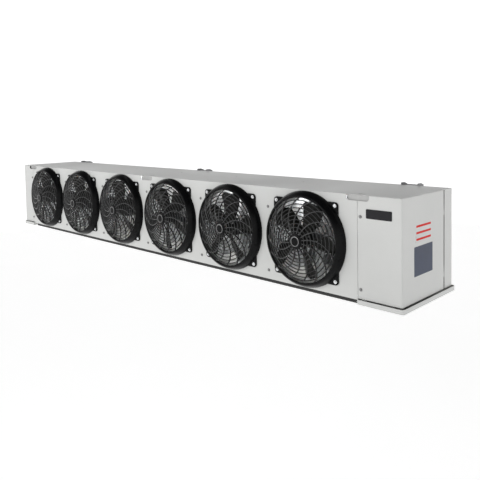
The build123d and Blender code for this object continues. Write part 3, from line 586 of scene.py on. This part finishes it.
# %% fans
fan_mesh = bmesh.new()
for k in range(blade_count):
    turn = Matrix.Rotation(math.tau * k / blade_count, 3, "Z")
    sections = []
    for step in range(blade_steps + 1):
        share = step / blade_steps
        line = [blade_point(share, c / chord_steps - 0.5) for c in range(chord_steps + 1)]
        half_thick = Vector((0, 0, 0.0013 - 0.0005 * share))
        sections.append([turn @ (p + half_thick) for p in line]
                        + [turn @ (p - half_thick) for p in reversed(line)])
    capped(fan_mesh, sections)
hub_profile = [(0.0285, -0.0010), (0.0300, 0.0020), (0.0300, 0.0230), (0.0288, 0.0270), (0.0255, 0.0288),
               (0.0120, 0.0290), (0.0105, 0.0275), (0.0040, 0.0275)]
turned(fan_mesh, hub_profile, 60)
turned(fan_mesh, [(0.0040, -0.0260), (0.0040, 0.0300), (0.0032, 0.0310)], 24)
fan_data = mesh_from("fan_moulding", fan_mesh, [blade_plastic], smooth=45)
rest_angles = (20, 20, 20, 44, 4, 62)
for i, (place, angle) in enumerate(zip(fan_places, rest_angles), start=1):
    turned_data = fan_data.copy()
    turned_data.transform(Matrix.Rotation(math.radians(angle), 4, "Z"))
    stand(f"fan_moulding_{i}", turned_data, f"rotor_{i}", "fan_black", f"fan_{i}",
          place=facing_front(Vector((place.x, front, place.z))))
print("fans:", len(fan_data.polygons), "faces each")

# %% [markdown]
# ## Screws
# The sheet metal is held by hexagon washer-head screws. One head has its washer flange and a crowned hexagon.
# A bought-in screw mesh would carry a thread that nobody sees, so only what stands out of the sheet is made.


# %% screw head
def screw_head(mesh, place, size, spin):
    """A hexagon washer head at place, which is a matrix whose local Z comes out of the sheet."""
    flange = ((1.02 * size, -0.0002), (1.05 * size, 0.0004), (size, 0.0009), (0.70 * size, 0.0012))
    hexagon = ((0.72 * size, 0.0008), (0.72 * size, 0.0032), (0.64 * size, 0.0040), (0.34 * size, 0.0042))
    capped(mesh, [ring_of(place, radius, height, 24) for radius, height in flange])
    capped(mesh, [ring_of(place, radius, height, 6, spin) for radius, height in hexagon])


def islands(node):
    """The box, as its low and high corner, of each separate solid of a CAD node, from left to right."""
    shape = bmesh.new()
    shape.from_mesh(frame["nodes"][node].data)
    bmesh.ops.remove_doubles(shape, verts=shape.verts, dist=1e-6)
    unseen = set(shape.verts)
    boxes = []
    while unseen:
        group, waiting = set(), [unseen.pop()]
        while waiting:
            vert = waiting.pop()
            group.add(vert)
            for edge in vert.link_edges:
                other = edge.other_vert(vert)
                if other in unseen:
                    unseen.remove(other)
                    waiting.append(other)
        boxes.append((Vector([min(v.co[a] for v in group) for a in range(3)]),
                      Vector([max(v.co[a] for v in group) for a in range(3)])))
    shape.free()
    return sorted(boxes, key=lambda pair: (round(pair[0].x, 4), round(pair[0].z, 4)))


# %% [markdown]
# The frame says where each screw is: every solid of a screw node is one screw. A fitter leaves each hexagon
# at its own angle, so the angle is a random draw with a fixed seed. The guards' screws are bright, and those
# of the panel and the covers have dulled.

# %% screws
random.seed(4)
guard_head_lift = 0.0042
screw_rows = (("guard_screws", "cabinet", 0.0068, screw_zinc), ("panel_screws", "cabinet", 0.0062, screw_grey),
              ("left_cover_screws", "left_cover", 0.0062, screw_grey),
              ("right_cover_screws", "right_cover", 0.0062, screw_grey))
for node, body, size, metal in screw_rows:
    heads = bmesh.new()
    found = islands(node)
    for low, high in found:
        height = high.y - low.y
        lift = min(guard_head_lift, height) if node == "guard_screws" else height
        seat = Vector(((low.x + high.x) / 2, low.y + lift, (low.z + high.z) / 2))
        screw_head(heads, facing_front(seat), size, random.uniform(0, 1))
    stand(f"{node}_heads", mesh_from(f"{node}_heads", heads, [metal], smooth=30), body, "screw_zinc", node)
    print(node, len(found))

# %% [markdown]
# ## Coil
# The block is hundreds of thin aluminium fins with copper tubes through them. A striped material on a block
# would look right only from afar, so each fin is a thin sheet of its own, and light passes between them. The
# sheets are crimped from front to back, as fin stock is.

# %% fins
coil_low, coil_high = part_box("fin_pack")
fin_pitch, half_fin, end_margin, crimp, fin_steps = 0.0042, 0.00009, 0.0002, 0.0006, 6
fin_count = int((coil_high.x - coil_low.x) / fin_pitch)
coil = bmesh.new()
for n in range(fin_count + 1):
    x = coil_low.x + end_margin + (coil_high.x - coil_low.x - 2 * end_margin) * n / fin_count
    faces_of_fin = []
    for side in (-half_fin, half_fin):
        points = [Vector((x + side + (crimp if step % 2 else 0),
                          coil_low.y + (coil_high.y - coil_low.y) * step / fin_steps, z))
                  for step in range(fin_steps + 1) for z in (coil_low.z, coil_high.z)]
        faces_of_fin.append([coil.verts.new(point) for point in points])
    for sheet in faces_of_fin:
        for step in range(0, 2 * fin_steps, 2):
            coil.faces.new((sheet[step], sheet[step + 1], sheet[step + 3], sheet[step + 2]))
    one, other = faces_of_fin
    coil.faces.new((one[0], one[1], other[1], other[0]))
    coil.faces.new((one[-2], one[-1], other[-1], other[-2]))
print("fins:", fin_count + 1)

# %% [markdown]
# Three rows of ten tubes run through the fins. A boolean could cut their holes, but the tubes fill the holes
# anyway, so each tube just passes through. They share one object with the fins.

# %% coil tubes
tube_radius, row_pitch, tube_pitch = 0.00635, 0.0275, 0.03175
rows_y = [coil_low.y + row_pitch * (n + 0.5) for n in range(3)]
levels_z = [coil_low.z + tube_pitch * (n + 0.5) for n in range(10)]
fin_faces = len(coil.faces)
for y in rows_y:
    for z in levels_z:
        bridge(coil, [[Vector((x, y + tube_radius * math.cos(math.tau * k / 12),
                               z + tube_radius * math.sin(math.tau * k / 12))) for k in range(12)]
                      for x in (coil_low.x, coil_high.x)])
paint_from(coil, fin_faces, 1)
coil_data = mesh_from("coil_block", coil, [aluminium, copper], smooth=30)
stand("coil_block", coil_data, "cabinet", "fin_aluminium", "fin_pack")
print("coil:", len(coil_data.polygons), "faces")

# %% [markdown]
# ## Return bends and suction header
# Hairpin bends join the tubes outside the end sheets, and a fat header gathers them in the right bay. A curve
# object with a round bevel could make them. A swept mesh is used, because its ends sit exactly on the end
# sheet and one mesh can hold many bends.


# %% tube helpers
def swept_rings(path, side, radius, sides=14):
    """Rings of a round tube along a path that lies in one plane. side is the way that the plane faces."""
    rings = []
    for n, here in enumerate(path):
        before, after = path[max(n - 1, 0)], path[min(n + 1, len(path) - 1)]
        across = side.cross((after - before).normalized()).normalized()
        rings.append([here + (across * math.cos(math.tau * k / sides)
                              + side * math.sin(math.tau * k / sides)) * radius for k in range(sides)])
    return rings


def hairpin(mesh, face_x, out, first, second):
    """A return bend on an end sheet at face_x, from one tube's (y, z) to the other's."""
    leg, arc_steps = Vector((0.010 * out, 0, 0)), 12
    start, end = Vector((face_x, *first)), Vector((face_x, *second))
    half, outward = (end - start) / 2, Vector((out, 0, 0))
    arc = []
    for n in range(arc_steps + 1):
        angle = math.pi * n / arc_steps
        arc.append(start + half - half * math.cos(angle) + leg + outward * half.length * math.sin(angle))
    path = [start, start + leg * 0.5, *arc, end + leg * 0.5, end]
    capped(mesh, swept_rings(path, half.cross(outward).normalized(), tube_radius))


# %% [markdown]
# The left end joins each pair of levels in its own row, and the right end leads from row to row. Each set of
# bends is one piece, since one node of the frame holds them.

# %% return bends
left_sheet, right_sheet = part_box("left_end_sheet")[0].x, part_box("right_end_sheet")[1].x
left_bends, right_bends = bmesh.new(), bmesh.new()
for k in range(0, len(levels_z), 2):
    for y in rows_y:
        hairpin(left_bends, left_sheet, -1, (y, levels_z[k]), (y, levels_z[k + 1]))
    hairpin(right_bends, right_sheet, 1, (rows_y[0], levels_z[k]), (rows_y[1], levels_z[k]))
    hairpin(right_bends, right_sheet, 1, (rows_y[1], levels_z[k + 1]), (rows_y[2], levels_z[k + 1]))
for name, bends in (("left_return_bends", left_bends), ("right_return_bends", right_bends)):
    stand(f"{name}_drawn", mesh_from(f"{name}_drawn", bends, [copper], smooth=60), "cabinet", "copper", name)
print("return bends on x", round(left_sheet, 4), round(right_sheet, 4))

# %% [markdown]
# The header is closed at both ends by spun domes. It takes five feeders, each in a short brazed collar, and
# leaves through the back as an open stub for the site's pipework. The domes could be half spheres, but spun
# ends are flatter, so their profile is drawn.

# %% header body and feeders
header_low, header_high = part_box("suction_header")
suction_radius, dome_height, upright = 0.01111, 0.006, Vector((0, 0, 1))
header_x, header_y = header_high.x - suction_radius, rows_y[2]
dome_profile = [(0.2, 1.0), (0.55, 0.86), (0.84, 0.54), (0.97, 0.2), (1.0, 0.0)]
profile = [(suction_radius * r, header_low.z + dome_height * (1 - h)) for r, h in dome_profile]
profile += [(suction_radius * r, header_high.z - dome_height * (1 - h)) for r, h in reversed(dome_profile)]
header = bmesh.new()
turned(header, profile, 24, place=Matrix.Translation((header_x, header_y, 0)))
collar_from, collar_to, collar_radius = Vector((0.0185, 0, 0)), Vector((0.0060, 0, 0)), tube_radius * 1.16
for z in levels_z[::2]:
    feeder_end = Vector((header_x, header_y, z))
    capped(header, swept_rings([Vector((right_sheet, header_y, z)), feeder_end], upright, tube_radius))
    capped(header, swept_rings([feeder_end - collar_from, feeder_end - collar_to], upright, collar_radius))
print("header at", round(header_x, 4), round(header_y, 4))

# %% [markdown]
# The stub ends in an open mouth: the last ring is drawn in by the tube's wall and carried back inside it,
# which gives a real rim and a dark bore.

# %% suction stub
wall, bore_depth = 0.0011, 0.02
stub_z = header_low.z + 2 * suction_radius
stub_path = [Vector((header_x, header_y, stub_z)), Vector((header_x, header_high.y - bore_depth, stub_z)),
             Vector((header_x, header_high.y, stub_z))]
stub_rings = swept_rings(stub_path, upright, suction_radius, 24)
mouth, backwards = stub_path[-1], Vector((0, -1, 0))
for depth in (0.0, bore_depth):
    stub_rings.append([mouth + (p - mouth) * (1 - wall / suction_radius) + backwards * depth
                       for p in stub_rings[2]])
capped(header, stub_rings)
header_data = mesh_from("suction_header_drawn", header, [copper], smooth=50)
stand("suction_header_drawn", header_data, "cabinet", "copper", "suction_header")
print("stub at z", round(stub_z, 4))

# %% [markdown]
# ## Painted shade along the drain pan
# A strip in the black rubber finish lies on the front wall of the pan's trough. It is painted shade: a dark sheet
# put where the gap under the fan panel leaves only shade, and it reads as a dark line along the foot of the
# cabinet. A line in a material would be flat, so the strip has its thickness, rounded edges and a slight
# unevenness along its length.

# %% pan shade strip
cover_low, cover_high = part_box("right_end_cover")
seam_left, seam_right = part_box("left_end_cover")[1].x, cover_low.x
pan_low, pan_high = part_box("drain_pan")
pan_points = [v.co for v in frame["nodes"]["drain_pan"].data.vertices]
trough_face = min((p.y for p in pan_points if seam_left - 0.03 < p.x < seam_right + 0.03
                   and p.z < pan_low.z + 0.004), default=pan_low.y)
# The strip is painted shade: a dark sheet where the shade under the fan panel falls.
shade_strip_top, shade_strip_foot, shade_strip_ends, shade_strip_steps = pan_high.z - 0.0035, pan_low.z + 0.0015, 0.003, 60
shade_strip = bmesh.new()
rings = []
for n in range(shade_strip_steps + 1):
    x = seam_left + shade_strip_ends + (seam_right - seam_left - 2 * shade_strip_ends) * n / shade_strip_steps
    swell = 0.0002 * math.sin(n * 1.7)
    outline = [(0.0002, shade_strip_top), (0.0012 + swell, shade_strip_top - 0.0004), (0.0018 + swell, shade_strip_top - 0.0016),
               (0.0018 + swell, shade_strip_foot + 0.0016), (0.0012 + swell, shade_strip_foot + 0.0004), (0.0002, shade_strip_foot)]
    rings.append([Vector((x, trough_face - out, z)) for out, z in outline])
capped(shade_strip, rings)
stand("pan_painted_shade_strip", mesh_from("pan_painted_shade_strip", shade_strip, [rubber], smooth=60), "drain_pan_assembly",
      "grommet_rubber")
print("trough face", round(trough_face, 4), "pan", round(pan_low.z, 4), round(pan_high.z, 4))

# %% [markdown]
# ## Roof rivets
# Two dome-headed rivets hold the roof to each inner wall, near the wall's front and back. They are painted
# with the roof, so only their low domes show. A bump in the material would vanish when the roof is seen
# edge-on, so they are real. That there are rivets at all is a guess.

# %% roof rivets
rivet_inset = 0.045
rivet_places = []
for i in range(1, 6):
    wall_low, wall_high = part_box(f"partition_{i}")
    wall_middle = (wall_low.x + wall_high.x) / 2
    rivet_places += [(wall_middle, wall_low.y + rivet_inset), (wall_middle, wall_high.y - rivet_inset)]
rivet_profile = [(0.0048, -0.0002), (0.0048, 0.0003), (0.0040, 0.0010), (0.0024, 0.0015), (0.0008, 0.0016)]
roof_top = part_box("roof_panel")[1].z
rivets = bmesh.new()
for x, y in rivet_places:
    turned(rivets, rivet_profile, 20, place=Matrix.Translation((x, y, roof_top)))
stand("roof_rivets", mesh_from("roof_rivets", rivets, [paint], smooth=60), "cabinet", "cabinet_white")
print("roof top", round(roof_top, 4))

# %% [markdown]
# ## Plates on the right cover
# A badge sits on the front of the right cover, and the end face has a striped sticker above a rating plate.
# All are thin films with rounded corners and nothing written on them. They could be colours in the cover's
# material, but as pieces they keep a crisp edge, cast a fine shadow and swing with the cover.


# %% film helper
def film(name, corners, out, thickness, radius, material, slot):
    """A thin plate with rounded corners on the right cover. corners run round it, and it faces out."""
    outline = []
    for i, corner in enumerate(corners):
        before = (corners[i - 1] - corner).normalized()
        after = (corners[(i + 1) % len(corners)] - corner).normalized()
        for step in range(5):
            t = step / 4
            outline.append(corner + before * radius * (1 - t) ** 2 + after * radius * t ** 2)
    mesh = bmesh.new()
    capped(mesh, [outline, [p + out * thickness for p in outline]])
    stand(name, mesh_from(name, mesh, [material], smooth=30), "right_cover", slot)


badge_left, badge_right = cover_high.x - 0.137, cover_high.x - 0.037
badge_low, badge_high = cover_low.z + 0.287, cover_low.z + 0.320
badge_corners = [Vector((x, front, z)) for x, z in ((badge_left, badge_low), (badge_right, badge_low),
                                                   (badge_right, badge_high), (badge_left, badge_high))]
film("blank_badge", badge_corners, Vector((0, -1, 0)), 0.0012, 0.004, badge_gloss, "guard_black")
print("badge", round(badge_right - badge_left, 4), "by", round(badge_high - badge_low, 4))

# %% [markdown]
# The sticker and the plate are told by how far behind the fan face and how high over the cover's foot their
# edges are. The stripes are printed, so they lie on top of the sticker.

# %% sticker and rating plate
film_thickness = 0.0001
stripe_count, top_stripe, stripe_pitch, stripe_half = 3, 0.2600, 0.0227, 0.0038


def end_film(name, near, far, bottom, top, material, slot, radius=0.003, lift=0.0):
    """A film on the end face, between two distances behind the fan face and two heights over its foot."""
    x = cover_high.x + lift
    corners = [Vector((x, front + depth, cover_low.z + height))
               for depth, height in ((near, bottom), (far, bottom), (far, top), (near, top))]
    film(name, corners, Vector((1, 0, 0)), film_thickness, radius, material, slot)


end_film("blank_rating_plate", 0.081, 0.215, 0.088, 0.191, rating_blue, "terminal_plastic")
end_film("striped_sticker", 0.090, 0.208, 0.204, 0.271, sticker_pale, "cabinet_white")
for n in range(1, stripe_count + 1):
    height = top_stripe - stripe_pitch * (n - 1)
    end_film(f"sticker_stripe_{n}", 0.096, 0.202, height - stripe_half, height + stripe_half, sticker_red,
             "cabinet_white", radius=0.0005, lift=film_thickness)
print("plates made on x", round(cover_high.x, 4))

# %% [markdown]
# ## Floor
# The studio's floor is a plain white sweep well below the unit. It could be a plane, but a large disc has no
# corners in the distance. It isn't part of the object.

# %% floor
floor_radius, floor_drop = 14.0, 2.2
floor_mesh = bmesh.new()
turned(floor_mesh, [(floor_radius, -0.02), (floor_radius, 0.0)], 96)
floor = bpy.data.objects.new("floor", mesh_from("floor", floor_mesh, [floor_pale]))
floor.location = (0, 0, cad_box[0].z - floor_drop)
bpy.context.scene.collection.objects.link(floor)
print("floor at z", round(floor.location.z, 3))
